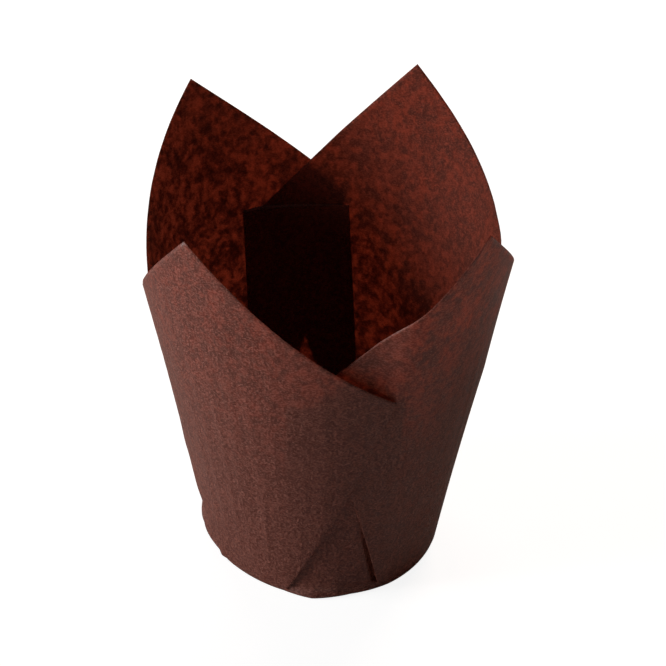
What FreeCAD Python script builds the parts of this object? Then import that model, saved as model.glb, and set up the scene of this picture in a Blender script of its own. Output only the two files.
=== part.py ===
import FreeCAD, Part

import math
import os
from dataclasses import dataclass

# Tulip muffin wrap: one square sheet of greaseproof paper, pressed over a round former.
# The sheet's four corners stand up as petals, and the spare paper between them lies in
# four inverted box pleats. Origin at the middle of the base's underside, +Z up, -Y front.

Vector = FreeCAD.Vector

# The sheet as cut
SHEET_SIDE = 160.0
PAPER_THICKNESS = 0.1
SHEET_SHIFT_RIGHT = 2.6
SHEET_SHIFT_BACK = 2.7

# The cup it is pressed into
BASE_RADIUS = 25.0
RIM_BEND_RADIUS = 0.8
WALL_LEAN = math.radians(9.5)
WALL_FLARE = 1.2
WALL_FLARE_HEIGHT = 80.0

# Box pleats: half the width between the two inner creases
PLEAT_HALF_WIDTH_FOOT = 10.1
PLEAT_HALF_WIDTH_EDGE = 11.2

# Layers in a pleat lie this far apart. Over the pleat's foot the sheet turns from lying
# flat round the rim to lying in folds, and stands up halfway.
LAYER_PITCH = 0.32
PLEAT_FOOT_HEIGHT = 3.0
PLEAT_FOOT_CRUMPLE = 0.3
FLAP_FOOT_TILT = 0.4
STANDING_SHARE = 0.45

# Layers of a pleat, counted outwards from its middle panel
MIDDLE_PANEL_LAYER = 0
INNER_FLAP_LAYER = 1
INNER_PETAL_LAYER = 2
OUTER_FLAP_LAYER = 3
OUTER_PETAL_LAYER = 4

# The cup's cone runs midway between the two petals' layers
CONE_LAYER = (INNER_PETAL_LAYER + OUTER_PETAL_LAYER) / 2

# Petals bend out of the cone above this height, and are measured this much higher
PETAL_BEND_START = 45.0
PETAL_BEND_SPAN = 45.0
PETAL_BEND_POWER = 1.5
PETAL_OVERLAP_SHARE = 0.35

# How closely the folded surface is followed
RIM_ROWS = 4
WALL_ROWS = 7
PETAL_STEPS = 7
PANEL_STEPS = 4
PROBE = 1e-4


@dataclass
class Pleat:
    """One box pleat, seen from outside: bearing of its middle, and its two side panels.

    sheet_shift is how much further the sheet reaches up here than a centred one would, and
    side_shift how far the middle of the sheet's side lies to the pleat's right.
    """

    bearing: float
    left_overlap: float
    right_overlap: float
    left_is_outer: bool
    sheet_shift: float
    side_shift: float

    def edge_height(self):
        """Height up the wall of the sheet's edge."""
        return SHEET_SIDE / 2 - BASE_RADIUS + self.sheet_shift

    def overlap(self, side):
        """How far a side panel's fold passes the middle of the pleat at the edge."""
        return self.left_overlap if side < 0 else self.right_overlap

    def is_outer(self, side):
        return self.left_is_outer == (side < 0)

    def petal_layer(self, side):
        return OUTER_PETAL_LAYER if self.is_outer(side) else INNER_PETAL_LAYER

    def flap_layer(self, side):
        return OUTER_FLAP_LAYER if self.is_outer(side) else INNER_FLAP_LAYER

    def petal_edge_length(self, side):
        """Length of the petal's free edge, from the pleat's fold to the sheet's corner."""
        used_by_pleat = 2 * PLEAT_HALF_WIDTH_EDGE + self.overlap(side)
        return SHEET_SIDE / 2 - side * self.side_shift - used_by_pleat


PLEATS = [
    Pleat(
        bearing=-91.2,
        left_overlap=9.0,
        right_overlap=7.9,
        left_is_outer=True,
        sheet_shift=-SHEET_SHIFT_BACK,
        side_shift=SHEET_SHIFT_RIGHT,
    ),
    Pleat(
        bearing=-6.4,
        left_overlap=7.1,
        right_overlap=2.3,
        left_is_outer=True,
        sheet_shift=SHEET_SHIFT_RIGHT,
        side_shift=SHEET_SHIFT_BACK,
    ),
    Pleat(
        bearing=91.3,
        left_overlap=8.1,
        right_overlap=14.0,
        left_is_outer=False,
        sheet_shift=SHEET_SHIFT_BACK,
        side_shift=-SHEET_SHIFT_RIGHT,
    ),
    Pleat(
        bearing=178.6,
        left_overlap=2.1,
        right_overlap=10.2,
        left_is_outer=False,
        sheet_shift=-SHEET_SHIFT_RIGHT,
        side_shift=-SHEET_SHIFT_BACK,
    ),
]

# How far each petal's tip region bends outwards: front right, back right, back left, front left
PETAL_BEND = [3.6, -1.6, 1.6, -2.6]

# Distance along the wall from the cone's apex to the base, and where the wall begins
APEX = BASE_RADIUS / math.sin(WALL_LEAN)
RIM_TANGENT = RIM_BEND_RADIUS * math.tan((math.pi / 2 - WALL_LEAN) / 2)
WALL_LENGTH = SHEET_SIDE / 2 - BASE_RADIUS
FOLDED_UP = PLEAT_FOOT_HEIGHT / WALL_LENGTH

# Angle from a pleat's middle to its foot, on the rolled-out cone
FOOT_ANGLE = math.asin(PLEAT_HALF_WIDTH_FOOT / BASE_RADIUS) * math.sin(WALL_LEAN)


def blend(value):
    """Smooth rise from 0 to 1."""
    value = min(max(value, 0.0), 1.0)
    return value * value * (3 - 2 * value)


def height_above_rim(x, y):
    """Distance up the wall of a point of the rolled-out cone."""
    return math.hypot(x, APEX + y) - APEX


def folded_share(up):
    """How far the pleats are folded at a position up a strip: 0 at the rim, 1 above the foot."""
    return min(max(up / FOLDED_UP, 0.0), 1.0)


def layer_spread(up):
    """Share of their full spacing that the pleats' layers have at a position up a strip."""
    return 1 - (1 - folded_share(up)) ** 2


def rolled_angle(degrees):
    """Angle on the rolled-out cone of an angle around the cup."""
    return math.radians(degrees) * math.sin(WALL_LEAN)


def rim_foot(angle):
    """Point of the rolled-out cone where the wall begins, at an angle from the pleat."""
    radius = APEX + RIM_TANGENT
    return radius * math.sin(angle), radius * math.cos(angle) - APEX


def wall_point(bearing, x, y, spread):
    """Point of the paper on the cup's wall, from the rolled-out cone, moved out from it by spread."""
    height = height_above_rim(x, y)
    azimuth = math.radians(bearing) + math.atan2(x, APEX + y) / math.sin(WALL_LEAN)
    radius = BASE_RADIUS + height * math.sin(WALL_LEAN)
    radius += WALL_FLARE * (height / WALL_FLARE_HEIGHT) ** 2
    radius += spread
    return Vector(radius * math.cos(azimuth), radius * math.sin(azimuth), height * math.cos(WALL_LEAN))


def rim_point(bearing, angle, share):
    """Point on the rounded bend between base and wall: share 0 at the base, 1 at the wall."""
    turn = -math.pi / 2 + share * (math.pi / 2 - WALL_LEAN)
    radius = BASE_RADIUS - RIM_TANGENT + RIM_BEND_RADIUS * math.cos(turn)
    height = RIM_BEND_RADIUS * (1 + math.sin(turn))
    azimuth = math.radians(bearing) + angle / math.sin(WALL_LEAN)
    return Vector(radius * math.cos(azimuth), radius * math.sin(azimuth), height)


def turned(x, y, degrees):
    """A point of the rolled-out cone, seen from a pleat that many degrees further round."""
    angle = rolled_angle(degrees)
    px, py = x, APEX + y
    return px * math.cos(angle) - py * math.sin(angle), px * math.sin(angle) + py * math.cos(angle) - APEX


class Petal:
    """One corner of the sheet, between the pleat before it and the pleat after it."""

    def __init__(self, before, after, bend):
        self.before = before
        self.after = after
        self.bend = bend
        self.span = (after.bearing - before.bearing) % 360
        self.tip = self.find_tip()

    def find_tip(self):
        """Corner of the sheet on the rolled-out cone, from the lengths of its two edges."""
        ax, ay = -self.before.right_overlap, self.before.edge_height()
        bx, by = turned(self.after.left_overlap, self.after.edge_height(), -self.span)
        first = self.before.petal_edge_length(1)
        second = self.after.petal_edge_length(-1)
        gap = math.hypot(bx - ax, by - ay)
        along = (first ** 2 - second ** 2 + gap ** 2) / (2 * gap)
        out = math.sqrt(first ** 2 - along ** 2)
        ux, uy = (bx - ax) / gap, (by - ay) / gap
        return ax + ux * along - uy * out, ay + uy * along + ux * out

    def layer(self, share):
        """Layer of the petal, across it from the pleat before to the pleat after."""
        start = self.before.petal_layer(1)
        end = self.after.petal_layer(-1)
        rise = blend((share - PETAL_OVERLAP_SHARE) / (1 - 2 * PETAL_OVERLAP_SHARE))
        return start + (end - start) * rise

    def bent(self, point, height):
        """The point moved with the outward bend of the petal."""
        above = max(height - PETAL_BEND_START, 0.0) / PETAL_BEND_SPAN
        azimuth = math.radians(self.before.bearing + self.span / 2)
        push = self.bend * above ** PETAL_BEND_POWER
        return point + Vector(push * math.cos(azimuth), push * math.sin(azimuth), 0)


@dataclass
class Line:
    """A line up the sheet beside one crease of a pleat, in the half on one side."""

    pleat: Pleat
    top: float
    foot_steps: float
    stand_off: float
    layer: float
    turn: float

    def at(self, up):
        """Distance from the pleat's middle, height and layer."""
        foot_x, foot_y = rim_foot(FOOT_ANGLE)
        folded = folded_share(up)
        x = foot_x + up * (self.top - foot_x)
        x += (1 - folded) * self.foot_steps * PLEAT_FOOT_CRUMPLE + folded * self.stand_off
        y = foot_y + up * (self.pleat.edge_height() - foot_y)
        tilt = 4 * folded * (1 - folded) * FLAP_FOOT_TILT
        return x, y, self.layer + self.turn * tilt


def inner_lines(pleat, side):
    """Lines round the crease between the middle panel and a flap, outwards along the sheet."""
    flap = pleat.flap_layer(side)
    bend = flap * LAYER_PITCH / 2
    top = PLEAT_HALF_WIDTH_EDGE
    return [
        Line(pleat, top, -3, -bend, MIDDLE_PANEL_LAYER, 0),
        Line(pleat, top, -2, 0, (MIDDLE_PANEL_LAYER + flap) / 2, -0.5),
        Line(pleat, top, -1, -bend, flap, -1),
    ]


def outer_lines(pleat, side):
    """Lines round the crease between a flap and its petal, outwards along the sheet."""
    flap = pleat.flap_layer(side)
    petal = pleat.petal_layer(side)
    bend = LAYER_PITCH / 2
    top = -pleat.overlap(side)
    return [
        Line(pleat, top, 1, bend, flap, 1),
        Line(pleat, top, 2, 0, (flap + petal) / 2, 0.5),
        Line(pleat, top, 3, bend, petal, 0),
    ]


class Strip:
    """A strip of the sheet that runs from the base to the sheet's edge beside one pleat.

    Positions across it go from 0 to 1 in the order of the pleats, positions up it from
    -1 at the base, through 0 where the wall begins, to 1 at the sheet's edge.
    """

    steps = PANEL_STEPS

    def __init__(self, pleat, side):
        self.pleat = pleat
        self.side = side

    def flat(self, out, up):
        """Distance from the pleat's middle, height and layer, out from 0 to 1 along the sheet."""
        raise NotImplementedError

    def place(self, x, y, spread):
        return wall_point(self.pleat.bearing, self.side * x, y, spread)

    def point(self, share, up):
        """Point of the paper's middle."""
        out = share if self.side > 0 else 1 - share
        x, y, layer = self.flat(out, max(up, 0.0))
        if up < 0:
            return rim_point(self.pleat.bearing, self.side * math.atan2(x, APEX + y), 1 + up)
        return self.place(x, y, (layer - CONE_LAYER) * LAYER_PITCH * layer_spread(up))


class Panel(Strip):
    """A strip between two lines beside the creases."""

    def __init__(self, pleat, side, start, end, steps):
        super().__init__(pleat, side)
        self.start = start
        self.end = end
        self.steps = steps

    def flat(self, out, up):
        start = self.start.at(up)
        end = self.end.at(up)
        return tuple(a + (b - a) * out for a, b in zip(start, end))


class MiddlePanel(Strip):
    """The innermost panel of a pleat, from one inner crease to the other."""

    def flat(self, out, up):
        line = inner_lines(self.pleat, self.side)[0]
        side_x, side_y, layer = line.at(up)
        foot_x, foot_y, layer = line.at(0.0)
        offset = 2 * out - 1
        bottom_y = rim_foot(offset * math.atan2(foot_x, APEX + foot_y))[1]
        return offset * side_x, bottom_y + up * (self.pleat.edge_height() - bottom_y), layer


class HalfPetal(Strip):
    """A petal from the pleat's outer crease to the line that runs to the sheet's corner."""

    steps = PETAL_STEPS

    def __init__(self, pleat, side, petal):
        super().__init__(pleat, side)
        self.petal = petal
        self.line = outer_lines(pleat, side)[-1]
        x, y = petal.tip
        if side < 0:
            x, y = turned(x, y, petal.span)
        self.tip_x, self.tip_y = side * x, y

    def flat(self, out, up):
        foot_x, foot_y = rim_foot(FOOT_ANGLE)
        shift = self.line.at(up)[0] - (foot_x + up * (self.line.top - foot_x))
        foot_x, foot_y = rim_foot(FOOT_ANGLE + (rolled_angle(self.petal.span / 2) - FOOT_ANGLE) * out)
        top_x = self.line.top + (self.tip_x - self.line.top) * out
        top_y = self.pleat.edge_height() + (self.tip_y - self.pleat.edge_height()) * out
        x = foot_x + up * (top_x - foot_x) + (1 - out) ** 2 * shift
        y = foot_y + up * (top_y - foot_y)
        return x, y, self.petal.layer(out / 2 if self.side > 0 else 1 - out / 2)

    def place(self, x, y, spread):
        return self.petal.bent(super().place(x, y, spread), height_above_rim(x, y))


def half_pleat(pleat, side, petal):
    """Strips from the middle panel's edge out to the petal's middle."""
    lines = inner_lines(pleat, side) + outer_lines(pleat, side)
    steps = [1, 1, PANEL_STEPS, 1, 1]
    pairs = zip(lines, lines[1:], steps)
    strips = [Panel(pleat, side, start, end, step) for start, end, step in pairs]
    strips.append(HalfPetal(pleat, side, petal))
    return strips


def strips_in_order():
    """Every strip of the wall, once round the cup."""
    count = len(PLEATS)
    petals = [Petal(PLEATS[i], PLEATS[(i + 1) % count], PETAL_BEND[i]) for i in range(count)]
    strips = []
    for i, pleat in enumerate(PLEATS):
        strips += reversed(half_pleat(pleat, -1, petals[i - 1]))
        strips.append(MiddlePanel(pleat, 1))
        strips += half_pleat(pleat, 1, petals[i])
    return strips


def zones_up():
    """Positions up a strip: the rounded rim, the two halves of the pleats' foot, the wall."""
    standing = STANDING_SHARE * FOLDED_UP
    rim = [i / RIM_ROWS - 1 for i in range(RIM_ROWS + 1)]
    wall = [FOLDED_UP + i / WALL_ROWS * (1 - FOLDED_UP) for i in range(WALL_ROWS + 1)]
    return [rim, [0.0, standing], [standing, FOLDED_UP], wall]


def face_normal(strip, share, up):
    """Direction out of the sheet's outer face."""
    if up <= -1:
        return Vector(0, 0, -1)
    low, high = max(share - PROBE, 0.0), min(share + PROBE, 1.0)
    below, above = max(up - PROBE, -1.0), min(up + PROBE, 1.0)
    across = strip.point(high, up) - strip.point(low, up)
    along = strip.point(share, above) - strip.point(share, below)
    return across.cross(along).normalize()


def strip_grid(strip, rows):
    """Points of the paper's middle and its face normals, row by row."""
    shares = [i / strip.steps for i in range(strip.steps + 1)]
    points = [[strip.point(share, up) for share in shares] for up in rows]
    normals = [[face_normal(strip, share, up) for share in shares] for up in rows]
    return points, normals


def join_neighbours(grids):
    """Give the shared line of two neighbouring strips one position and one normal."""
    for i, (points, normals) in enumerate(grids):
        next_points, next_normals = grids[(i + 1) % len(grids)]
        for row in range(len(points)):
            points[row][-1] = next_points[row][0]
            normal = (normals[row][-1] + next_normals[row][0]).normalize()
            normals[row][-1] = next_normals[row][0] = normal


def interpolated(points, parameters):
    curve = Part.BSplineCurve()
    curve.interpolate(Points=points, Parameters=parameters)
    return curve


def patch(points, rows):
    """Smooth surface through a grid of points."""
    across_parameters = [float(i) for i in range(len(points[0]))]
    across = [interpolated(row, across_parameters) for row in points]
    columns = zip(*[curve.getPoles() for curve in across])
    up = [interpolated(list(column), rows) for column in columns]
    surface = Part.BSplineSurface()
    surface.buildFromPolesMultsKnots(
        [curve.getPoles() for curve in up],
        across[0].getMultiplicities(),
        up[0].getMultiplicities(),
        across[0].getKnots(),
        up[0].getKnots(),
        False,
        False,
        across[0].Degree,
        up[0].Degree,
    )
    return surface


def cut_edge(sides):
    """The sheet's cut edge, straight from its one face to the other."""
    curves = [side.vIso(side.bounds()[3]) for side in sides]
    surface = Part.BSplineSurface()
    surface.buildFromPolesMultsKnots(
        [list(pair) for pair in zip(*[curve.getPoles() for curve in curves])],
        curves[0].getMultiplicities(),
        [2, 2],
        curves[0].getKnots(),
        [0.0, 1.0],
        False,
        False,
        curves[0].Degree,
        1,
    )
    return surface


def offset_grid(points, normals, distance):
    return [
        [point + normal * distance for point, normal in zip(point_row, normal_row)]
        for point_row, normal_row in zip(points, normals)
    ]


def liner():
    """The whole folded sheet as one solid."""
    strips = strips_in_order()
    zones = zones_up()
    faces = []
    base_edges = {1: [], -1: []}
    for rows in zones:
        grids = [strip_grid(strip, rows) for strip in strips]
        join_neighbours(grids)
        for points, normals in grids:
            sides = []
            for face_side in (1, -1):
                surface = patch(offset_grid(points, normals, face_side * PAPER_THICKNESS / 2), rows)
                faces.append(surface.toShape())
                sides.append(surface)
                if rows is zones[0]:
                    base_edges[face_side].append(surface.vIso(surface.bounds()[2]).toShape())
            if rows is zones[-1]:
                faces.append(cut_edge(sides).toShape())
    for edges in base_edges.values():
        faces.append(Part.Face(Part.Wire(edges)))
    shell = Part.makeShell(faces)
    shell.sewShape()
    solid = Part.Solid(shell)
    if solid.Volume < 0:
        solid.reverse()
    solid.translate(Vector(0, 0, PAPER_THICKNESS / 2))
    return solid


os.makedirs("parts", exist_ok=True)
sheet = liner()
sheet.exportStep("parts/liner.step")
box = sheet.BoundBox
print("liner", sheet.isValid(), len(sheet.Faces), "faces", round(sheet.Volume, 1), "mm3")
print("box", box.XMin, box.XMax, box.YMin, box.YMax, box.ZMin, box.ZMax)
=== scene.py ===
"""Tulip muffin wrap: one folded sheet of dark brown greaseproof paper, dressed over its CAD solid."""

import logging
from dataclasses import dataclass, field
from enum import Enum, IntEnum
from typing import Optional

import bpy
import numpy as np
from mathutils import Matrix, Vector


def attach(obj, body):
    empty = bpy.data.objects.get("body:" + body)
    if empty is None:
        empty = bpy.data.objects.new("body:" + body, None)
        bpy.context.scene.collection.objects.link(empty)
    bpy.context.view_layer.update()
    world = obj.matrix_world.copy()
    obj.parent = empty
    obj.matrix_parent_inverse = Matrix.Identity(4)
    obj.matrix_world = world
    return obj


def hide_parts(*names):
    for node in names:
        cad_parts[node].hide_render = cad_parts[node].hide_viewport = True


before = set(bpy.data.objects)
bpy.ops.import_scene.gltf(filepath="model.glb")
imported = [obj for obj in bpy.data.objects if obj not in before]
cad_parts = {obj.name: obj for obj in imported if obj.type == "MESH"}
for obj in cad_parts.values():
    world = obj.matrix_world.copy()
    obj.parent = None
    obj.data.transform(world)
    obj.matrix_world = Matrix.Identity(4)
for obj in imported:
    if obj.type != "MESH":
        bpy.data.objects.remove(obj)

LOG = logging.getLogger("muffin_wrap")
METRES = 0.001
TINY = 1e-12
Grid = np.ndarray
Colour = tuple[float, float, float, float]
Triple = tuple[float, float, float]
Pair = tuple[float, float]


def smooth(value: Grid) -> Grid:
    """Smooth rise from 0 to 1, with the cubic that is level at both ends.

    Args:
        value: Any numbers; below 0 they give 0 and above 1 they give 1.

    Returns:
        Three times the square less twice the cube of the clipped value.
    """
    share = np.clip(value, 0.0, 1.0)
    return share * share * (3.0 - 2.0 * share)


def bump(value: Grid, centre: float, width: float) -> Grid:
    """Bell curve: e to the power of minus the squared distance from the centre in widths.

    Args:
        value: Where the curve is read.
        centre: Where it is 1.
        width: Distance at which it has fallen to 1/e.

    Returns:
        The height of the bell at each value.
    """
    return np.exp(-(((value - centre) / width) ** 2))


def arch(share: Grid) -> Grid:
    """Parabola that is 0 at both ends of the share and 1 in its middle."""
    return 4 * share * (1 - share)


def fade(height: Grid, length: float) -> Grid:
    """Exponential fall: 1 up to height 0, and 1/e at the length."""
    return np.exp(-np.clip(height, 0.0, None) / length)


def grey(level: float) -> Colour:
    """An even grey, where 1 is white."""
    return (level, level, level, 1.0)


class Side(Enum):
    """Which side of a pleat a strip lies on, seen from outside."""

    LEFT = -1
    RIGHT = 1


class Layer(IntEnum):
    """Layers of a folded pleat, counted outwards from its middle panel."""

    MIDDLE_PANEL = 0
    INNER_FLAP = 1
    INNER_PETAL = 2
    OUTER_FLAP = 3
    OUTER_PETAL = 4


@dataclass(frozen=True)
class CupSizes:
    """Sizes of the sheet and of the cup that it is pressed into, in millimetres and radians."""

    sheet_side: float = 160.0
    thickness: float = 0.07
    sheet_shift_right: float = 2.6
    sheet_shift_back: float = 2.7
    base_radius: float = 25.0
    rim_radius: float = 0.8
    lean: float = float(np.radians(9.5))
    flare: float = 2.8
    flare_height: float = 80.0
    pitch: float = 0.2
    foot_height: float = 1.8
    foot_crumple: float = 0.3
    foot_tilt: float = 0.4
    overlap_share: float = 0.35
    cone_layer: float = 3.0
    base_power: int = 4

    @property
    def apex(self) -> float:
        """Distance along the wall from the cone's apex to the base."""
        return self.base_radius / np.sin(self.lean)

    @property
    def rim_tangent(self) -> float:
        """Distance up the wall at which the rounded rim ends."""
        return self.rim_radius * np.tan((np.pi / 2 - self.lean) / 2)

    @property
    def wall_length(self) -> float:
        """Height up the wall of the middle of a centred sheet's edge."""
        return self.sheet_side / 2 - self.base_radius

    @property
    def folded_up(self) -> float:
        """Position up a strip at which the pleat's foot ends."""
        return self.foot_height / self.wall_length

    def height(self, x: Grid, y: Grid) -> Grid:
        """Distance up the wall of a point of the rolled-out cone: that from the apex, less the base's."""
        return np.hypot(x, self.apex + y) - self.apex

    def radius(self, height: Grid) -> Grid:
        """Radius of the bare wall: straight with the height, plus the flare times the height squared."""
        flare = self.flare * (height / self.flare_height) ** 2
        return self.base_radius + height * np.sin(self.lean) + flare

    def rim_foot(self, angle: Grid) -> tuple[Grid, Grid]:
        """Point of the rolled-out cone where the wall begins: polar coordinates about the apex."""
        radius = self.apex + self.rim_tangent
        return radius * np.sin(angle), radius * np.cos(angle) - self.apex

    def turned(self, x: float, y: float, degrees: float) -> Pair:
        """A point of the rolled-out cone as seen from a pleat that many degrees further round."""
        angle = np.radians(degrees) * np.sin(self.lean)
        out = self.apex + y
        return x * np.cos(angle) - out * np.sin(angle), x * np.sin(angle) + out * np.cos(angle) - self.apex

    def folded(self, up: Grid) -> Grid:
        """How far the pleats are folded: a smooth rise from the rim to the top of their foot."""
        return smooth(up / self.folded_up)

    def spread(self, up: Grid) -> Grid:
        """Share of the layers' full spacing: one less the square of what is left of the foot."""
        return 1.0 - (1.0 - np.clip(up / self.folded_up, 0.0, 1.0)) ** 2


@dataclass(frozen=True)
class SidePanels:
    """One side of a pleat: its inner crease and its petal's fold, in millimetres from the pleat's middle.

    The overlap is how far the fold passes the middle at the sheet's edge, and the slack how far its
    top then lies along the petal's free edge. The fold bows outwards halfway up, drifts near its foot,
    and stands off the panel below it by the lift.
    """

    overlap: float
    half_foot: float = 10.1
    half_edge: float = 11.2
    slack: float = 0.0
    bow: float = 0.0
    foot_drift: float = 0.0
    lift: float = 0.0


@dataclass(frozen=True)
class Pleat:
    """One box pleat: the bearing of its middle in degrees, its two sides, and which of them is outside.

    The sheet's shifts, the dent, the bulge and the groove are in millimetres.
    """

    sizes: CupSizes
    bearing: float
    left: SidePanels
    right: SidePanels
    outer: Side
    sheet_shift: float
    side_shift: float
    dent: float = 0.0
    bulge: float = 0.0
    groove: float = 0.0

    @property
    def edge(self) -> float:
        """Height up the wall of the sheet's edge."""
        return self.sizes.wall_length + self.sheet_shift

    def panels(self, side: Side) -> SidePanels:
        """The panels on one side."""
        return self.left if side is Side.LEFT else self.right

    def foot_angle(self, side: Side) -> float:
        """Angle from the pleat's middle to its foot on the rolled-out cone."""
        return np.arcsin(self.panels(side).half_foot / self.sizes.base_radius) * np.sin(self.sizes.lean)

    def petal_layer(self, side: Side) -> Layer:
        """Layer of the petal on one side."""
        return Layer.OUTER_PETAL if side is self.outer else Layer.INNER_PETAL

    def flap_layer(self, side: Side) -> Layer:
        """Layer of the flap on one side."""
        return Layer.OUTER_FLAP if side is self.outer else Layer.INNER_FLAP

    def free_edge(self, side: Side) -> float:
        """Length of the petal's free edge from the pleat's fold to the sheet's corner."""
        used = 2 * self.panels(side).half_edge + self.panels(side).overlap
        return self.sizes.sheet_side / 2 - side.value * self.side_shift - used


@dataclass(frozen=True)
class Petal:
    """One corner of the sheet, between the pleat before it and the pleat after it.

    It leaves the cone by its bend and skew, in millimetres, which grow with the rise above their start.
    """

    before: Pleat
    after: Pleat
    bend: float
    skew: float
    bend_start: float = 45.0
    bend_rise: float = 45.0
    bend_power: float = 1.5

    @property
    def span(self) -> float:
        """Degrees from the pleat before to the pleat after."""
        return (self.after.bearing - self.before.bearing) % 360

    @property
    def tip(self) -> Pair:
        """Corner of the sheet on the rolled-out cone: where circles of the two edges' lengths cross."""
        sizes = self.before.sizes
        ax, ay = -self.before.right.overlap, self.before.edge
        bx, by = sizes.turned(self.after.left.overlap, self.after.edge, -self.span)
        first, second = self.before.free_edge(Side.RIGHT), self.after.free_edge(Side.LEFT)
        gap = np.hypot(bx - ax, by - ay)
        along = (first**2 - second**2 + gap**2) / (2 * gap)
        out = np.sqrt(first**2 - along**2)
        ux, uy = (bx - ax) / gap, (by - ay) / gap
        return ax + ux * along - uy * out, ay + uy * along + ux * out

    def tip_beside(self, side: Side) -> Pair:
        """The tip as the pleat sees it that has the petal on that side, with x away from its middle."""
        x, y = self.tip
        if side is Side.LEFT:
            x, y = self.before.sizes.turned(x, y, self.span)
        return side.value * x, y

    def corner(self, side: Side) -> Pair:
        """Top of the fold on that pleat: its nominal place, moved by the slack towards the tip."""
        pleat = self.before if side is Side.RIGHT else self.after
        x, y = -pleat.panels(side).overlap, pleat.edge
        tip_x, tip_y = self.tip_beside(side)
        share = pleat.panels(side).slack / np.hypot(tip_x - x, tip_y - y)
        return x + share * (tip_x - x), y + share * (tip_y - y)

    def layer(self, share: Grid) -> Grid:
        """Layer across the petal: a smooth change from the one pleat's layer to the other's."""
        start = self.before.petal_layer(Side.RIGHT)
        end = self.after.petal_layer(Side.LEFT)
        overlap = self.before.sizes.overlap_share
        return start + (end - start) * smooth((share - overlap) / (1 - 2 * overlap))

    def push(self, share: Grid, height: Grid) -> Grid:
        """Outward bend: a half sine across times the rise, to a power, plus a whole sine times the rise.

        Args:
            share: Position across the petal, 0 at the pleat before it and 1 at the pleat after it.
            height: Distance up the wall. The rise is what it has above the start, over the bend's rise.

        Returns:
            How far the paper stands out.
        """
        rise = np.clip(height - self.bend_start, 0.0, None) / self.bend_rise
        middle = np.clip(np.sin(np.pi * share) * rise, 0.0, None) ** self.bend_power
        return self.bend * middle + self.skew * np.sin(2 * np.pi * share) * rise


@dataclass(frozen=True)
class Line:
    """A line up the sheet beside one crease of a pleat, in millimetres.

    Near the foot it lies some crumples off the crease and its layer turns, and higher up it stands off
    by a fixed distance. Its drift and lift fade out at a share of the way up.
    """

    pleat: Pleat
    side: Side
    top: Pair
    foot_steps: float
    stand_off: float
    layer: float
    turn: float = 0.0
    bow: float = 0.0
    foot_drift: float = 0.0
    lift: float = 0.0
    fade_top: float = 0.55
    drift_power: float = 1.2

    def straight(self, up: Grid) -> tuple[Grid, Grid]:
        """Straight line from the pleat's foot to its top at the sheet's edge."""
        foot_x, foot_y = self.pleat.sizes.rim_foot(self.pleat.foot_angle(self.side))
        return foot_x + up * (self.top[0] - foot_x), foot_y + up * (self.top[1] - foot_y)

    def at(self, up: Grid) -> tuple[Grid, Grid, Grid]:
        """The straight line, opened out at the foot, plus a parabola's bow, a drift and a lift.

        Args:
            up: Positions up the strip, 0 at the rim and 1 at the sheet's edge.

        Returns:
            Distance from the pleat's middle, height and layer at each position.
        """
        sizes = self.pleat.sizes
        folded = sizes.folded(up)
        left = np.clip(1 - up / self.fade_top, 0.0, None)
        x, y = self.straight(up)
        bent = self.bow * arch(up) + self.foot_drift * left**self.drift_power
        x = x + (1 - folded) * self.foot_steps * sizes.foot_crumple + folded * (self.stand_off + bent)
        turned = self.turn * arch(folded) * sizes.foot_tilt
        return x, y, self.layer + turned + self.lift / sizes.pitch * folded * left


@dataclass(frozen=True)
class Squeeze:
    """How one level of the cup departs from a centred circle, in millimetres."""

    swell: float
    shift_right: float
    shift_back: float
    oval: float
    slanted_oval: float

    def reach(self, azimuth: Grid) -> Grid:
        """The swell, plus cosines and sines of the azimuth and of twice the azimuth."""
        shift = self.shift_right * np.cos(azimuth) + self.shift_back * np.sin(azimuth)
        return self.swell + shift + self.oval * np.cos(2 * azimuth) + self.slanted_oval * np.sin(2 * azimuth)


@dataclass(frozen=True)
class DentShape:
    """Where a pleat's lower layers are dented: its limits and how softly each begins, in millimetres."""

    left: float = -12.0
    left_rise: float = 4.0
    right: float = 11.5
    right_rise: float = 8.0
    bottom: float = 45.0
    bottom_rise: float = 8.0
    layer_above: float = 3.0

    def share(self, x: Grid, y: Grid, layer: Grid) -> Grid:
        """Product of smooth rises from the left, the right and the bottom, and a fall through the layers.

        Args:
            x: Distance to the right of the pleat's middle.
            y: Height up the wall.
            layer: Layer, counted outwards. The one above the dent stays, and so do those beyond it.

        Returns:
            Share of the dent's depth at each place.
        """
        across = smooth((self.right - x) / self.right_rise) * smooth((x - self.left) / self.left_rise)
        upwards = smooth((y - self.bottom) / self.bottom_rise)
        return across * upwards * np.clip(self.layer_above - layer, 0.0, 1.0)


@dataclass(frozen=True)
class Flutes:
    """Faint upright ridges, in millimetres. A wave has its turns round the cup, phase and strength."""

    depth: float = 0.05
    waves: tuple[Triple, ...] = ((47, 1.3, 1.0), (31, 4.1, 0.8), (73, 0.4, 0.5))
    patches: tuple[Pair, ...] = ((5, 0.7), (3, 2.0))
    rise: float = 12.0
    fall_start: float = 45.0
    fall: float = 40.0
    loss: float = 0.7

    def reach(self, azimuth: Grid, height: Grid) -> Grid:
        """A sum of sines, in patches by a product of sines, fading in above the rim and partly out again."""
        wave = sum(strength * np.sin(azimuth * turns + phase) for turns, phase, strength in self.waves)
        patch = np.prod([np.sin(azimuth * turns + phase) for turns, phase in self.patches], axis=0)
        lasting = 1 - self.loss * smooth((height - self.fall_start) / self.fall)
        return self.depth * wave * (1 + patch) / 2 * smooth(height / self.rise) * lasting


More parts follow.
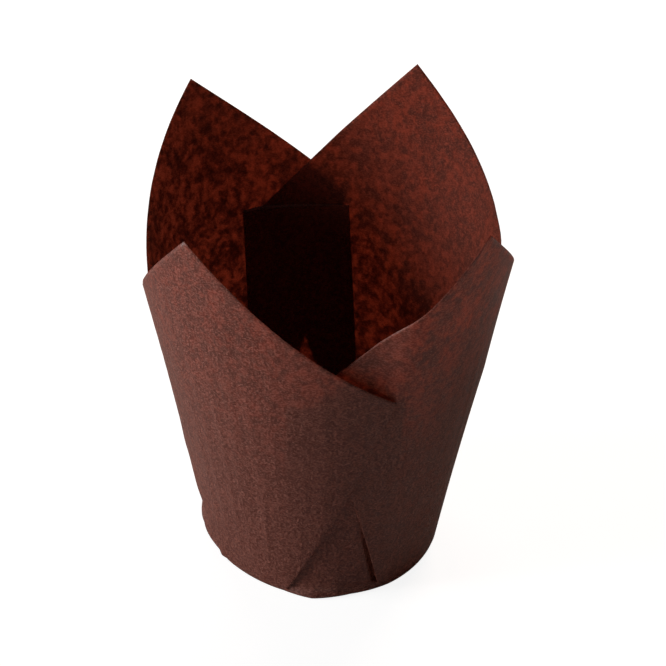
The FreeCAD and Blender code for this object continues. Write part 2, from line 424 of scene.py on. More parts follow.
@dataclass(frozen=True)
class Surface:
    """The wall's shape beyond a plain cone, in millimetres: what pressing and handling left in the paper."""

    sizes: CupSizes
    corners: tuple[float, ...]
    at_foot: Squeeze = Squeeze(0.35, -0.85, 0.65, -1.1, -0.65)
    at_notch: Squeeze = Squeeze(-0.95, 0.1, 0.1, -0.4, -0.3)
    notch_height: float = 60.0
    highest_share: float = 1.4
    flat_share: float = 0.1
    flat_height: float = 22.0
    lip_bearing: float = -103.0
    lip_before: float = 13.0
    lip_after: float = 17.0
    lip_reach: float = 1.1
    lip_height: float = 1.4
    heel_reach: float = 0.45
    heel_height: float = 6.0
    heel_power: int = 6
    dent: DentShape = DentShape()
    flutes: Flutes = Flutes()

    def foot(self, azimuth: Grid, height: Grid) -> Grid:
        """The base's outline beyond a circle, fading upwards: its flat sides, the lip and a heel."""
        heel = np.clip(np.cos(azimuth - np.radians(self.lip_bearing)), 0.0, 1.0) ** self.heel_power
        heel = self.heel_reach * heel * fade(height, self.heel_height)
        return self.flats(azimuth) * fade(height, self.flat_height) + heel + self.lip(azimuth, height)

    def squeeze(self, azimuth: Grid, height: Grid) -> Grid:
        """Straight change from the foot's squeeze to the notch's, and some way on above it."""
        share = np.clip(height / self.notch_height, 0.0, self.highest_share)
        return (1 - share) * self.at_foot.reach(azimuth) + share * self.at_notch.reach(azimuth)

    def lip(self, azimuth: Grid, height: Grid) -> Grid:
        """A small pointed lip under the front pleat: a triangle round the base, fading upwards."""
        offset = np.degrees(np.angle(np.exp(1j * (azimuth - np.radians(self.lip_bearing)))))
        gone = np.where(offset < 0, -offset / self.lip_before, offset / self.lip_after)
        return self.lip_reach * np.clip(1.0 - gone, 0.0, 1.0) * fade(height, self.lip_height)

    def flats(self, azimuth: Grid) -> Grid:
        """The base is a rounded octagon: a share of the distance from the circle in to its chord."""
        corners = np.radians(np.array(self.corners))
        turn = np.mod(azimuth - corners[0], 2 * np.pi)
        offsets = np.append(np.mod(corners - corners[0], 2 * np.pi), 2 * np.pi)
        index = np.clip(np.searchsorted(offsets, turn, side="right") - 1, 0, len(corners) - 1)
        start, end = offsets[index], offsets[index + 1]
        half = (end - start) / 2
        chord = np.cos(half) / np.cos(turn - start - half) - 1.0
        return self.flat_share * self.sizes.base_radius * chord


@dataclass
class Strip:
    """A strip of the sheet from the base to the sheet's edge, beside one pleat.

    Positions across go from 0 to 1 in the order of the pleats, positions up from 0 where the wall
    begins to 1 at the sheet's edge. The steps are its cells across, and the covers the petals over it.
    """

    pleat: Pleat
    side: Side
    steps: int
    covers: tuple["HalfPetal", ...] = field(default=(), init=False)

    def flat(self, out: Grid, up: Grid) -> tuple[Grid, Grid, Grid]:
        """Distance from the pleat's middle, height and layer, with out from 0 to 1 along the sheet."""
        raise NotImplementedError

    def give(self, x: Grid, up: Grid, height: Grid) -> Grid:
        """How far the strip gives way inwards: all that the petals over it are pressed in at each place."""
        return sum((cover.pressed(x, up, height) for cover in self.covers), np.zeros_like(height))

    def push(self, out: Grid, height: Grid) -> tuple[Grid, float]:
        """Outward bend of the paper and its bearing in degrees: none unless the strip is a petal's."""
        return np.zeros_like(height), self.pleat.bearing

    def grid(self, up: Grid) -> tuple[Grid, Grid]:
        """Positions out and up, one column for each step and one row for each position."""
        share = np.arange(self.steps) / self.steps
        out, rows = np.meshgrid(share if self.side is Side.RIGHT else 1 - share, up)
        return out, rows


@dataclass
class Bend(Strip):
    """A folded crease: half an ellipse between the line towards the middle panel and the one beyond.

    The bulge is how far the crease stands out beyond both, away from the pleat's middle.
    """

    start: Line
    end: Line
    bulge: float

    def flat(self, out: Grid, up: Grid) -> tuple[Grid, Grid, Grid]:
        """Straight between the lines plus a sine across; the layers follow a cosine."""
        x0, y, layer0 = self.start.at(up)
        x1, y, layer1 = self.end.at(up)
        folded = self.pleat.sizes.folded(up)
        x = x0 + (x1 - x0) * out + folded * self.bulge * np.sin(np.pi * out)
        return x, y, layer0 + (layer1 - layer0) * (1 - np.cos(np.pi * out)) / 2


@dataclass
class Flap(Strip):
    """The hidden panel between the line beside the inner crease and the one beside the outer fold."""

    start: Line
    end: Line

    def flat(self, out: Grid, up: Grid) -> tuple[Grid, Grid, Grid]:
        """Straight from one line to the other."""
        pairs = zip(self.start.at(up), self.end.at(up))
        x, y, layer = (a + (b - a) * out for a, b in pairs)
        return x, y, layer


@dataclass(frozen=True)
class GussetShape:
    """Where a middle panel sinks in beside the right fold, and where it bulges at its foot.

    Lengths are in millimetres, the groove's top is a share of the way up, and the bulge's width is one
    of the way across.
    """

    groove_before: float = 1.1
    groove_rise: float = 1.0
    groove_end: float = 1.5
    groove_top: float = 0.4
    bulge_width: float = 0.8
    bulge_power: float = 1.5
    bulge_height: float = 3.0
    bulge_spread: float = 2.5


@dataclass
class MiddlePanel(Strip):
    """The innermost panel of a pleat, from the line beside its left inner crease to the right one.

    It sinks in beside the line of the right petal's fold, by the pleat's groove, so that a dark gap shows.
    """

    left: Line
    right: Line
    fold: Line
    shape: GussetShape = GussetShape()

    def rim_angle(self, line: Line) -> float:
        """Angle on the rolled-out cone from the pleat's middle to the foot of a line."""
        foot_x, foot_y, _ = line.at(np.zeros(1))
        return float(np.arctan2(foot_x, self.pleat.sizes.apex + foot_y)[0])

    def sunk(self, x: Grid, right: Grid, up: Grid) -> Grid:
        """Share of the groove: smooth rises from the fold and from the right crease, gone at its top."""
        from_fold = smooth((x - self.fold.at(up)[0] + self.shape.groove_before) / self.shape.groove_rise)
        from_crease = smooth((right - x) / self.shape.groove_end)
        return from_fold * from_crease * np.clip(1 - up / self.shape.groove_top, 0, None)

    def flat(self, out: Grid, up: Grid) -> tuple[Grid, Grid, Grid]:
        """Straight across between the creases, with its foot on the rim's arc, and sunk by the groove."""
        left, _, layer = self.left.at(up)
        right = self.right.at(up)[0]
        start, end = -self.rim_angle(self.left), self.rim_angle(self.right)
        bottom = self.pleat.sizes.rim_foot(start + (end - start) * out)[1]
        x = (left + right) * out - left
        layer = layer - self.pleat.groove / self.pleat.sizes.pitch * self.sunk(x, right, up)
        return x, bottom + up * (self.pleat.edge - bottom), layer

    def push(self, out: Grid, height: Grid) -> tuple[Grid, float]:
        """The gusset's bulge: a cosine across to a power, times a bell curve a little way up the wall."""
        across = np.clip(np.cos(np.pi * (out - 0.5) / self.shape.bulge_width), 0.0, None)
        upwards = bump(height, self.shape.bulge_height, self.shape.bulge_spread)
        return self.pleat.bulge * across**self.shape.bulge_power * upwards, self.pleat.bearing


@dataclass
class HalfPetal(Strip):
    """A petal from the line beside the pleat's outer fold to the one that runs to the sheet's corner."""

    line: Line
    petal: Petal

    def share(self, out: Grid) -> Grid:
        """Position across the whole petal."""
        return out / 2 if self.side is Side.RIGHT else 1 - out / 2

    def flat(self, out: Grid, up: Grid) -> tuple[Grid, Grid, Grid]:
        """Straight lines from the rim's arc up to the sheet's straight edge, moved beside the fold.

        The fold's shift fades with the square, and its lift with the cube, of what is left of the way out.
        """
        sizes = self.pleat.sizes
        line_x, _, line_layer = self.line.at(up)
        shift = line_x - self.line.straight(up)[0]
        layer = self.petal.layer(self.share(out)) + (line_layer - self.line.layer) * (1 - out) ** 3
        start, end = self.pleat.foot_angle(self.side), np.radians(self.petal.span / 2) * np.sin(sizes.lean)
        foot_x, foot_y = sizes.rim_foot(start + (end - start) * out)
        tip_x, tip_y = self.petal.tip_beside(self.side)
        top_x = self.line.top[0] + (tip_x - self.line.top[0]) * out
        top_y = self.line.top[1] + (tip_y - self.line.top[1]) * out
        x = foot_x + up * (top_x - foot_x) + (1 - out) ** 2 * shift
        return x, foot_y + up * (top_y - foot_y), layer

    def push(self, out: Grid, height: Grid) -> tuple[Grid, float]:
        """The petal's own bend, towards its middle's bearing."""
        return self.petal.push(self.share(out), height), self.petal.before.bearing + self.petal.span / 2

    def pressed(self, x: Grid, up: Grid, height: Grid) -> Grid:
        """How far the petal is bent inwards over places beside the pleat.

        Args:
            x: Distances to the right of the pleat's middle.
            up: Positions up the strip there.
            height: Distances up the wall there.

        Returns:
            The petal's bend where it is inwards, and 0 where it is outwards or short of the place.
        """
        fold, middle = (self.flat(np.full_like(x, end), up)[0] for end in (0.0, 1.0))
        out = np.clip((self.side.value * x - fold) / (middle - fold), 0.0, 1.0)
        return np.minimum(self.petal.push(self.share(out), height), 0.0)


@dataclass
class FoldedSheet:
    """The whole liner: sizes, how finely it is drawn, and how its strips lie round the cup."""

    sizes: CupSizes = field(default_factory=CupSizes)
    petal_steps: int = 32
    flap_steps: int = 6
    bend_steps: int = 4
    panel_steps: int = 36
    base_rows: int = 6
    rim_rows: int = 6
    foot_rows: int = 10
    wall_rows: int = 72

    def pleats(self) -> list[Pleat]:
        """The four box pleats: front, right, back and left."""
        right, back = self.sizes.sheet_shift_right, self.sizes.sheet_shift_back
        front_left = SidePanels(9.0, bow=-0.8)
        front_right = SidePanels(7.9, bow=0.84, foot_drift=-2.4, lift=0.7)
        back_right = SidePanels(8.1, half_foot=11.8, half_edge=10.7, slack=1.0, bow=-2.0, foot_drift=-3.0)
        back_left = SidePanels(14.0, half_foot=10.8, half_edge=12.1, slack=4.7, bow=-2.0, foot_drift=-3.0)
        left_front = SidePanels(10.2, half_foot=13.0, lift=0.9)
        return [
            Pleat(self.sizes, -91.2, front_left, front_right, Side.LEFT, -back, right, dent=2.7, groove=1.5),
            Pleat(self.sizes, -6.4, SidePanels(7.1), SidePanels(2.3), Side.LEFT, right, back),
            Pleat(self.sizes, 91.3, back_right, back_left, Side.RIGHT, back, -right),
            Pleat(self.sizes, 178.6, SidePanels(2.1), left_front, Side.RIGHT, -right, -back, bulge=1.2),
        ]

    def petals(self, pleats: list[Pleat]) -> list[Petal]:
        """The four petals: front right, back right, back left and front left."""
        bends = ((2.6, 3.2), (-3.8, 0.6), (3.2, -2.0), (-2.3, 0.9))
        following = pleats[1:] + pleats[:1]
        return [Petal(before, after, *bend) for before, after, bend in zip(pleats, following, bends)]

    def half_pleat(self, pleat: Pleat, side: Side, petal: Petal) -> tuple[Line, list[Strip]]:
        """Strips from the middle panel's edge out to the petal's middle.

        Args:
            pleat: The pleat.
            side: Which side of it.
            petal: The petal on that side.

        Returns:
            The line beside the inner crease, and the strips outwards along the sheet.
        """
        pitch, flap, layer = self.sizes.pitch, pleat.flap_layer(side), pleat.petal_layer(side)
        inner, outer, panels = flap * pitch / 2, pitch / 2, pleat.panels(side)
        crease, top = (panels.half_edge, pleat.edge), petal.corner(side)
        bends = {"bow": panels.bow, "foot_drift": panels.foot_drift, "lift": panels.lift}
        panel_edge = Line(pleat, side, crease, foot_steps=-3, stand_off=-inner, layer=Layer.MIDDLE_PANEL)
        flap_start = Line(pleat, side, crease, foot_steps=-1, stand_off=-inner, layer=flap, turn=-1)
        flap_end = Line(pleat, side, top, foot_steps=1, stand_off=outer, layer=flap, turn=1, **bends)
        petal_start = Line(pleat, side, top, foot_steps=3, stand_off=outer, layer=layer, **bends)
        return panel_edge, [
            Bend(pleat, side, self.bend_steps, panel_edge, flap_start, inner),
            Flap(pleat, side, self.flap_steps, flap_start, flap_end),
            Bend(pleat, side, self.bend_steps, flap_end, petal_start, -outer),
            HalfPetal(pleat, side, self.petal_steps, petal_start, petal),
        ]

    def strips(self) -> list[Strip]:
        """Every strip of the wall, once round the cup."""
        pleats = self.pleats()
        petals = self.petals(pleats)
        found: list[Strip] = []
        for i, pleat in enumerate(pleats):
            left_edge, left = self.half_pleat(pleat, Side.LEFT, petals[i - 1])
            right_edge, right = self.half_pleat(pleat, Side.RIGHT, petals[i])
            edges = (left_edge, right_edge, right[-1].line)
            middle = MiddlePanel(pleat, Side.RIGHT, self.panel_steps, *edges)
            over, under = (left, right) if pleat.outer is Side.LEFT else (right, left)
            middle.covers = (over[-1], under[-1])
            under[-1].covers = (over[-1],)
            for strip in over[:-1]:
                strip.covers = (over[-1],)
            for strip in under[:-1]:
                strip.covers = (over[-1], under[-1])
            found += [*reversed(left), middle, *right]
        return found

    def corners(self) -> tuple[float, ...]:
        """Bearings of the eight corners of the base, in degrees."""
        turn = 1 / np.sin(self.sizes.lean)
        return tuple(
            pleat.bearing + float(np.degrees(side.value * pleat.foot_angle(side) * turn))
            for pleat in self.pleats()
            for side in Side
        )

    def rows(self) -> Grid:
        """Positions up the strips: closely through the pleats' foot, then evenly to the edge."""
        foot = np.linspace(0, self.sizes.folded_up, self.foot_rows, endpoint=False)
        return np.append(foot, np.linspace(self.sizes.folded_up, 1, self.wall_rows + 1))

    def wall(self, surface: Surface, strip: Strip, up: Grid) -> tuple[Grid, Grid]:
        """Points of the paper's middle on the wall, by the cone's polar coordinates.

        Args:
            surface: The wall's shape beyond a plain cone.
            strip: The strip.
            up: Positions up it.

        Returns:
            Points, one row for each position, and the azimuth of each strip's foot.
        """
        sizes = self.sizes
        out, rows = strip.grid(up)
        x, y, layer = strip.flat(out, rows)
        x = x * strip.side.value
        height = sizes.height(x, y)
        azimuth = np.radians(strip.pleat.bearing) + np.arctan2(x, sizes.apex + y) / np.sin(sizes.lean)
        above = height - sizes.rim_tangent
        radius = sizes.radius(height) + (layer - sizes.cone_layer) * sizes.pitch * sizes.spread(up)[:, None]
        radius = radius + surface.foot(azimuth, above) + surface.squeeze(azimuth, above)
        radius = radius + surface.flutes.reach(azimuth, above) + strip.give(x, rows, height)
        radius = radius - strip.pleat.dent * surface.dent.share(x, y, layer)
        push, bearing = strip.push(out, height)
        towards = np.radians(bearing)
        px = radius * np.cos(azimuth) + push * np.cos(towards)
        py = radius * np.sin(azimuth) + push * np.sin(towards)
        return np.stack([px, py, height * np.cos(sizes.lean)], axis=-1), azimuth[0]

    def base(self, surface: Surface, azimuth: Grid) -> Grid:
        """Points of the base and the rounded rim: rings of growing radius, then a quarter turn of an arc.

        The base's outline reaches inwards as a power of the radius.

        Args:
            surface: The wall's shape beyond a plain cone.
            azimuth: Azimuth of each column.

        Returns:
            Points, one row for each ring, without the centre.
        """
        sizes = self.sizes
        floor = np.zeros_like(azimuth)
        outset = surface.foot(azimuth, floor) + surface.squeeze(azimuth, floor)
        edge = sizes.base_radius - sizes.rim_tangent
        rings = edge * np.linspace(0, 1, self.base_rows, endpoint=False)[1:]
        turn = -np.pi / 2 + np.linspace(0, 1, self.rim_rows, endpoint=False) * (np.pi / 2 - sizes.lean)
        radius = np.append(rings, edge + sizes.rim_radius * np.cos(turn))[:, None]
        height = np.append(np.zeros_like(rings), sizes.rim_radius * (1 + np.sin(turn)))[:, None]
        reach = radius + outset * (radius / sizes.base_radius) ** sizes.base_power
        level = np.broadcast_to(height, reach.shape)
        return np.stack([reach * np.cos(azimuth), reach * np.sin(azimuth), level], axis=-1)

    def middle_surface(self) -> Grid:
        """The paper's middle as one grid: rows from the base's centre to the edge, columns round the cup."""
        surface = Surface(self.sizes, self.corners())
        parts = [self.wall(surface, strip, self.rows()) for strip in self.strips()]
        walls = np.concatenate([points for points, _ in parts], axis=1)
        azimuth = np.concatenate([angles for _, angles in parts])
        return np.concatenate([self.base(surface, azimuth), walls], axis=0)

    def normals(self, points: Grid) -> Grid:
        """Unit normals of a grid that closes round its columns: across times along, by differences."""
        across = np.roll(points, -1, axis=1) - np.roll(points, 1, axis=1)
        normal = np.cross(across, np.gradient(points, axis=0))
        return normal / np.maximum(np.linalg.norm(normal, axis=-1, keepdims=True), TINY)

    def faces(self, rows: int, columns: int) -> list[list[int]]:
        """Faces of the shell: both grids' quads, the cut edge's, and a fan round each pole.

        Args:
            rows: How many rows each grid has.
            columns: How many columns each grid has.

        Returns:
            Each face's corners, numbered through the outer grid, the inner grid and the two poles.
        """
        count = rows * columns
        column = np.arange(columns)
        following = (column + 1) % columns
        start = (np.arange(rows - 1) * columns)[:, None]
        near, far = start + column, start + following
        quads = np.stack([near, far, far + columns, near + columns], axis=-1).reshape(-1, 4)
        first, second = near[-1] + columns, far[-1] + columns
        edge = np.stack([first, second, second + count, first + count], axis=-1)
        pole = np.full(columns, 2 * count)
        fan = np.stack([pole, following, column], axis=-1)
        inner_fan = np.stack([pole + 1, column + count, following + count], axis=-1)
        parts = (quads, quads[:, ::-1] + count, edge, fan, inner_fan)
        return sum((part.tolist() for part in parts), [])

    def build(self, name: str) -> bpy.types.Object:
        """Makes the sheet as a closed shell: two offset grids, joined along the cut edge.

        Its attribute "outside" is 1 on the paper's outer face and 0 on the inner one; the material uses it to
        give the inner face painted shade.

        Args:
            name: Name of the new object.

        Returns:
            The mesh object, in metres, at the origin.
        """
        middle = self.middle_surface()
        rows, columns = middle.shape[:2]
        count = rows * columns
        half = self.sizes.thickness / 2
        offset = self.normals(middle) * half
        raised = middle + np.array([0.0, 0.0, half])
        outer, inner = (raised + offset).reshape(-1, 3), (raised - offset).reshape(-1, 3)
        poles = np.array([[0.0, 0.0, 0.0], [0.0, 0.0, 2 * half]])
        points = np.concatenate([outer, inner, poles]) * METRES
        mesh = bpy.data.meshes.new(name)
        mesh.from_pydata(points.tolist(), [], self.faces(rows, columns))
        mesh.validate()
        mesh.polygons.foreach_set("use_smooth", np.ones(len(mesh.polygons), dtype=bool))
        # This mask picks the inner face, which the material paints darker as shade of the cup's inside.
        outside = np.concatenate([np.ones(count), np.zeros(count), [1.0, 0.0]])
        mesh.attributes.new("outside", "FLOAT", "POINT").data.foreach_set("value", outside)
        mesh.update()
        sheet = bpy.data.objects.new(name, mesh)
        bpy.context.scene.collection.objects.link(sheet)
        return sheet


class Socket:
    """A shader socket with Python's arithmetic: each operation adds its Math node."""

    def __init__(self, builder: "Nodes", socket: bpy.types.NodeSocket) -> None:
        """Wraps a socket.

        Args:
            builder: The node tree's builder.
            socket: The output socket.
        """
        self.builder = builder
        self.socket = socket

    def _with(self, operation: str, first: object, second: object) -> "Socket":
        """Adds a Math node for one operation on two values."""
        return self.builder.add("ShaderNodeMath", {"operation": operation}, {0: first, 1: second})

    def __add__(self, other: object) -> "Socket":
        """Sum."""
        return self._with("ADD", self, other)

    __radd__ = __add__

    def __mul__(self, other: object) -> "Socket":
        """Product."""
        return self._with("MULTIPLY", self, other)

    __rmul__ = __mul__

    def __sub__(self, other: object) -> "Socket":
        """Difference."""
        return self._with("SUBTRACT", self, other)

    def __rsub__(self, other: object) -> "Socket":
        """Difference, the other way round."""
        return self._with("SUBTRACT", other, self)


class Nodes:
    """Builds one node tree. The Mix node's colour sockets go by number, as their names repeat."""

    first_colour = 6
    second_colour = 7
    mixed_colour = 2

    def __init__(self, tree: bpy.types.NodeTree) -> None:
        """Takes a tree and empties it.

        Args:
            tree: The material's or the world's node tree.
        """
        self.tree = tree
        tree.nodes.clear()

    def add(
        self,
        kind: str,
        settings: Optional[dict[str, object]] = None,
        inputs: Optional[dict[object, object]] = None,
        output: object = 0,
    ) -> Socket:
        """Adds a node.

        Args:
            kind: The node's type.
            settings: Its own settings, such as a Math node's operation, which are set first.
            inputs: Values or links of its input sockets, by name or number.
            output: Which output is returned.

        Returns:
            The wanted output.
        """
        node = self.tree.nodes.new(kind)
        for name, value in (settings or {}).items():
            setattr(node, name, value)
        for name, value in (inputs or {}).items():
            if isinstance(value, Socket):
                self.tree.links.new(value.socket, node.inputs[name])
            else:
                node.inputs[name].default_value = value
        return Socket(self, node.outputs[output] if len(node.outputs) else None)

    def noise(self, where: Socket, grain: "Grain") -> Socket:
        """Fractal noise, from 0 to 1 about 0.5."""
        values = {"Vector": where, "Scale": grain.scale, "Detail": grain.detail, "Roughness": grain.roughness}
        return self.add("ShaderNodeTexNoise", {"noise_dimensions": "3D"}, values)

    def stretched(self, where: Socket, scale: Triple) -> Socket:
        """Coordinates scaled along each axis."""
        return self.add("ShaderNodeMapping", {}, {"Vector": where, "Scale": scale})

    def unrolled(self, where: Socket, radius: float, climb: float) -> Socket:
        """Coordinates that run round the cup and slowly up it.

        Args:
            where: The coordinates, about the cup's axis.
            radius: Metres that the first has for each radian of the bearing.
            climb: Share of the height that the second has.

        Returns:
            The bearing times the radius, and the height times the climb.
        """
        x, y, z = (self.add("ShaderNodeSeparateXYZ", {}, {0: where}, output=axis) for axis in range(3))
        bearing = self.add("ShaderNodeMath", {"operation": "ARCTAN2"}, {0: y, 1: x})
        return self.add("ShaderNodeCombineXYZ", {}, {0: bearing * radius, 1: z * climb})

    def clipped(self, value: Socket, limits: Pair) -> Socket:
        """Smooth rise of the value from 0 at the first limit to 1 at the second."""
        values = {"Value": value, "From Min": limits[0], "From Max": limits[1]}
        return self.add("ShaderNodeMapRange", {"interpolation_type": "SMOOTHSTEP"}, values)

    def blended(self, share: Socket, first: Colour, second: Colour) -> Socket:
        """Colours mixed by a share."""
        values = {"Factor": share, self.first_colour: first, self.second_colour: second}
        return self.add("ShaderNodeMix", {"data_type": "RGBA"}, values, output=self.mixed_colour)


@dataclass(frozen=True)
class Grain:
    """One size of the paper's mottling: its noise's scale per metre, detail and roughness."""

    scale: float
    detail: float
    roughness: float


@dataclass(frozen=True)
class PaperFace:
    """One face of the paper: its darkest and lightest fibres, roughness and gloss."""

    dark: Colour
    light: Colour
    roughness: float
    gloss: float

    def shader(self, nodes: Nodes, mottle: Socket, relief: Socket) -> Socket:
        """The face's reflecting shader.

        Args:
            nodes: The node tree's builder.
            mottle: Share of light fibres.
            relief: The bumped normal.

        Returns:
            The shader.
        """
        values = {
            "Base Color": nodes.blended(mottle, self.dark, self.light),
            "Roughness": self.roughness,
            "Specular IOR Level": self.gloss,
            "Normal": relief,
        }
        return nodes.add("ShaderNodeBsdfPrincipled", {}, values)


@dataclass(frozen=True)
class GreaseproofPaper:
    """Dark brown greaseproof paper that light shines through: waxy outside, matt inside, with the inner
    face's colours made darker as painted shade of the cup's inside.

    The flecks are its light fibres, and the glow is what shines through, by shares of broad patches,
    clouds and fibres. Lengths are in metres.
    """

    name: str = "greaseproof_paper"
    outer: PaperFace = PaperFace((0.105, 0.023, 0.013, 1.0), (0.385, 0.147, 0.109, 1.0), 0.50, 0.55)
    # The inner face's darker, redder colours are painted shade: they stand in for the shade inside the cup,
    # not a colour of the paper.
    inner: PaperFace = PaperFace((0.085, 0.015, 0.007, 1.0), (0.270, 0.062, 0.036, 1.0), 0.75, 0.20)
    glow: Colour = (0.68, 0.24, 0.155, 1.0)
    broad: Grain = Grain(170.0, 3.0, 0.5)
    clouds: Grain = Grain(680.0, 5.0, 0.70)
    fibres: Grain = Grain(2300.0, 3.0, 0.6)
    fibre_shape: Triple = (1.0, 1.0, 1.8)
    fleck_shares: Triple = (0.10, 0.25, 0.65)
    fleck_limits: Pair = (0.44, 0.62)
    glow_shares: Triple = (0.27, 0.63, 0.10)
    glow_limits: Pair = (0.38, 0.62)
    lowest_glow: float = 0.12
    highest_glow: float = 0.41
    fleck_height: float = 0.00004
    flutes: Grain = Grain(420.0, 2.0, 0.5)
    flute_radius: float = 0.03
    flute_climb: float = 0.1
    flute_height: float = 0.00020

    def material(self) -> bpy.types.Material:
        """Builds the material.

        Returns:
            The two faces' shaders, mixed with a translucent glow by a share that varies over the paper.
        """
        material = bpy.data.materials.new(self.name)
        material.use_nodes = True
        nodes = Nodes(material.node_tree)
        where = nodes.add("ShaderNodeTexCoord", output="Object")
        grains = (
            nodes.noise(where, self.broad),
            nodes.noise(where, self.clouds),
            nodes.noise(nodes.stretched(where, self.fibre_shape), self.fibres),
        )
        mottle = self.weighed(grains, self.fleck_shares)
        flecks = nodes.clipped(mottle, self.fleck_limits)
        through = nodes.clipped(self.weighed(grains, self.glow_shares), self.glow_limits)
        share = through * self.highest_glow + (1.0 - through) * self.lowest_glow
        flutes = nodes.noise(nodes.unrolled(where, self.flute_radius, self.flute_climb), self.flutes)
        fluted = nodes.add("ShaderNodeBump", {}, {"Height": flutes, "Distance": self.flute_height})
        bumped = {"Height": mottle, "Distance": self.fleck_height, "Normal": fluted}
        relief = nodes.add("ShaderNodeBump", {}, bumped)
        # The inner face's shader has the darker colours: painted shade of the cup's inside, mixed in by the
        # outside attribute.
        outside = nodes.add("ShaderNodeAttribute", {"attribute_name": "outside"}, output="Fac")
        inner = self.inner.shader(nodes, flecks, relief)
        outer = self.outer.shader(nodes, flecks, relief)
        paper = nodes.add("ShaderNodeMixShader", {}, {0: outside, 1: inner, 2: outer})
        glow = nodes.add("ShaderNodeBsdfTranslucent", {}, {"Color": self.glow})
        mixed = nodes.add("ShaderNodeMixShader", {}, {0: share, 1: paper, 2: glow})
        nodes.add("ShaderNodeOutputMaterial", {}, {"Surface": mixed})
        return material

    def weighed(self, grains: tuple[Socket, Socket, Socket], shares: Triple) -> Socket:
        """Sum of the three grains, each times its share."""
        broad, clouds, fibres = (grain * share for grain, share in zip(grains, shares))
        return clouds + fibres + broad


@dataclass(frozen=True)
class Lamp:
    """A square soft light: its bearing and elevation round the object in degrees, and its side in metres.

    The bearing counts from +X towards +Y. The level is how bright the light makes a white surface that
    faces it, where 1 is white.
    """

    name: str
    bearing: float
    elevation: float
    side: float
    level: float
    tint: Triple = (1.0, 1.0, 1.0)


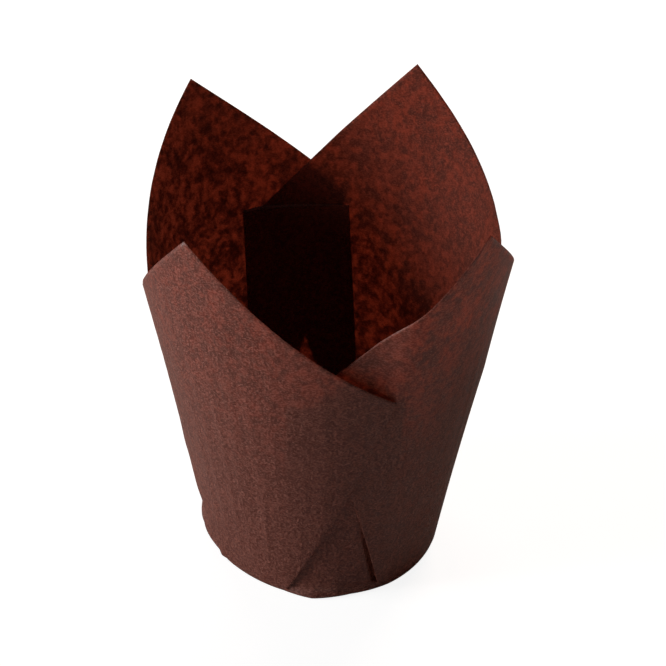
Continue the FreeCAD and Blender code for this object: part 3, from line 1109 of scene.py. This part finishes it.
@dataclass(frozen=True)
class Studio:
    """Pale floor, soft lights and the camera at the photograph's angle. Lengths in metres."""

    elevation: float = 32.3
    azimuth: float = -8.6
    roll: float = 0.6
    distance: float = 0.360
    focal_px: float = 1799.0
    frame_px: float = 666.0
    target_right: float = 0.0016
    target_up: float = 0.0466
    sensor_mm: float = 36.0
    clip_start: float = 0.01
    floor_half: float = 3.0
    floor_grey: float = 0.50
    seen_floor_grey: float = 0.35
    seen_floor_light: float = 0.88
    world_light: float = 0.03
    lamp_distance: float = 0.9
    warm: Triple = (1.0, 0.78, 0.66)

    def floor(self) -> bpy.types.Object:
        """A broad pale floor that the camera sees as white, apart from the object's shadow."""
        mesh = bpy.data.meshes.new("floor")
        half = self.floor_half
        corners = [(-half, -half, 0), (half, -half, 0), (half, half, 0), (-half, half, 0)]
        mesh.from_pydata(corners, [], [(0, 1, 2, 3)])
        floor = bpy.data.objects.new("floor", mesh)
        bpy.context.scene.collection.objects.link(floor)
        material = bpy.data.materials.new("floor_white")
        material.use_nodes = True
        nodes = Nodes(material.node_tree)
        seen = nodes.add("ShaderNodeLightPath", output="Is Camera Ray")
        matt = nodes.add("ShaderNodeBsdfDiffuse", {}, {"Color": grey(self.floor_grey)})
        pale = nodes.add("ShaderNodeBsdfDiffuse", {}, {"Color": grey(self.seen_floor_grey)})
        white = nodes.add("ShaderNodeEmission", {}, {"Color": grey(1.0), "Strength": self.seen_floor_light})
        shown = nodes.add("ShaderNodeAddShader", {}, {0: pale, 1: white})
        mixed = nodes.add("ShaderNodeMixShader", {}, {0: seen, 1: matt, 2: shown})
        nodes.add("ShaderNodeOutputMaterial", {}, {"Surface": mixed})
        mesh.materials.append(material)
        return floor

    def world(self) -> None:
        """A plain grey world that the camera sees as white."""
        world = bpy.data.worlds.new("studio")
        world.use_nodes = True
        nodes = Nodes(world.node_tree)
        seen = nodes.add("ShaderNodeLightPath", output="Is Camera Ray")
        plain = nodes.add("ShaderNodeBackground", {}, {"Color": grey(1.0), "Strength": self.world_light})
        white = nodes.add("ShaderNodeBackground", {}, {"Color": grey(1.0), "Strength": 1.0})
        mixed = nodes.add("ShaderNodeMixShader", {}, {0: seen, 1: plain, 2: white})
        nodes.add("ShaderNodeOutputWorld", {}, {"Surface": mixed})
        bpy.context.scene.world = world

    def put(self, lamp: Lamp) -> None:
        """Hangs a light so that it faces the object.

        Its power is its level times the square of pi and of its distance.

        Args:
            lamp: The light.
        """
        turn, rise = np.radians(lamp.bearing), np.radians(lamp.elevation)
        towards = Vector((np.cos(turn) * np.cos(rise), np.sin(turn) * np.cos(rise), np.sin(rise)))
        data = bpy.data.lights.new(lamp.name, "AREA")
        data.shape = "SQUARE"
        data.size = lamp.side
        data.energy = lamp.level * (np.pi * self.lamp_distance) ** 2
        data.color = lamp.tint
        light = bpy.data.objects.new(lamp.name, data)
        light.location = Vector((0.0, 0.0, self.target_up)) + towards * self.lamp_distance
        light.rotation_euler = (-towards).to_track_quat("-Z", "Y").to_euler()
        bpy.context.scene.collection.objects.link(light)

    def lights(self) -> None:
        """Two from the left, two warm ones that shine through the far petals, and a weak one in front."""
        lamps = (
            Lamp("key", 180.0, 15.0, 0.35, 0.66),
            Lamp("left", -170.0, 10.0, 0.30, 0.20),
            Lamp("back", 60.0, 24.0, 0.45, 0.68, self.warm),
            Lamp("back_left", 100.0, 24.0, 0.45, 0.28, self.warm),
            Lamp("front", -98.0, 4.0, 0.20, 0.075, self.warm),
        )
        for lamp in lamps:
            self.put(lamp)

    def camera(self) -> None:
        """The camera, turned about the object by azimuth and elevation and rolled a little."""
        psi, elevation = np.radians(self.azimuth), np.radians(self.elevation)
        back = Vector((np.sin(psi) * np.cos(elevation), -np.cos(psi) * np.cos(elevation), np.sin(elevation)))
        right = Vector((np.cos(psi), np.sin(psi), 0.0))
        up = back.cross(right)
        roll = np.radians(self.roll)
        aim = Vector((0.0, 0.0, self.target_up)) + right * self.target_right
        place = aim + back * self.distance
        across = right * np.cos(roll) + up * np.sin(roll)
        upward = up * np.cos(roll) - right * np.sin(roll)
        data = bpy.data.cameras.new("camera")
        data.sensor_width = self.sensor_mm
        data.lens = self.focal_px * self.sensor_mm / self.frame_px
        data.clip_start = self.clip_start
        camera = bpy.data.objects.new("camera", data)
        turned = Matrix((across, upward, back)).transposed().to_4x4()
        camera.matrix_world = Matrix.Translation(place) @ turned
        bpy.context.scene.collection.objects.link(camera)
        bpy.context.scene.camera = camera


def main() -> None:
    """Builds the liner and the studio, and reports each piece."""
    logging.basicConfig(level=logging.INFO, format="%(name)s: %(message)s")
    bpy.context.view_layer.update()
    sheet = FoldedSheet().build("folded_sheet")
    sheet.data.materials.append(GreaseproofPaper().material())
    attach(sheet, "root")
    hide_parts("liner")
    studio = Studio()
    floor = studio.floor()
    studio.world()
    studio.lights()
    studio.camera()
    for piece in (sheet, floor):
        LOG.info("%s: %d faces", piece.name, len(piece.data.polygons))
    bpy.context.scene.view_settings.view_transform = "Standard"


if __name__ == "__main__":
    main()
